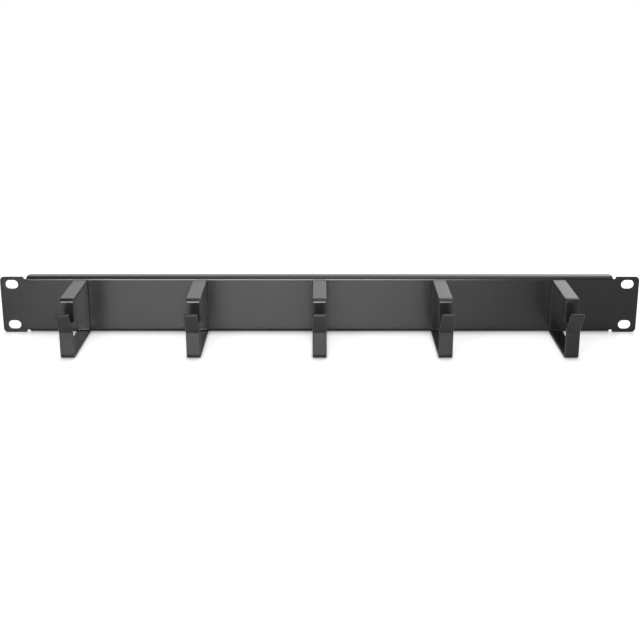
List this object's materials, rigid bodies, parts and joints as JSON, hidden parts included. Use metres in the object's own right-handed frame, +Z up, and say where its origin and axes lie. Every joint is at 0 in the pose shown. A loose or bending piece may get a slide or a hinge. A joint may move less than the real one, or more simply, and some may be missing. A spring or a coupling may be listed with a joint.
{
  "type": "horizontal cable manager",
  "caption": "Rack-mounted horizontal cable manager: a folded steel panel with slotted ears, carrying a row of open flat-strip cable rings.",
  "frame": {"origin": "centre of the rectangle of four ear slots, on the rear face of the ears, which seats on the rack's rails", "axes": "+X to the right along the panel seen from the front, +Y into the rack, +Z up; the rings stand out towards -Y"},
  "size_m": [0.4826, 0.0815, 0.0436],
  "materials": {
    "panel_coat": "fine-texture satin black powder coat on sheet steel",
    "ring_coat": "fine-texture satin black powder coat on flat steel strip"
  },
  "bodies": {
    "root": {"front_panel": "panel_coat", "cable_ring_1": "ring_coat", "cable_ring_2": "ring_coat", "cable_ring_3": "ring_coat", "cable_ring_4": "ring_coat", "cable_ring_5": "ring_coat"}
  },
  "joints": []
}
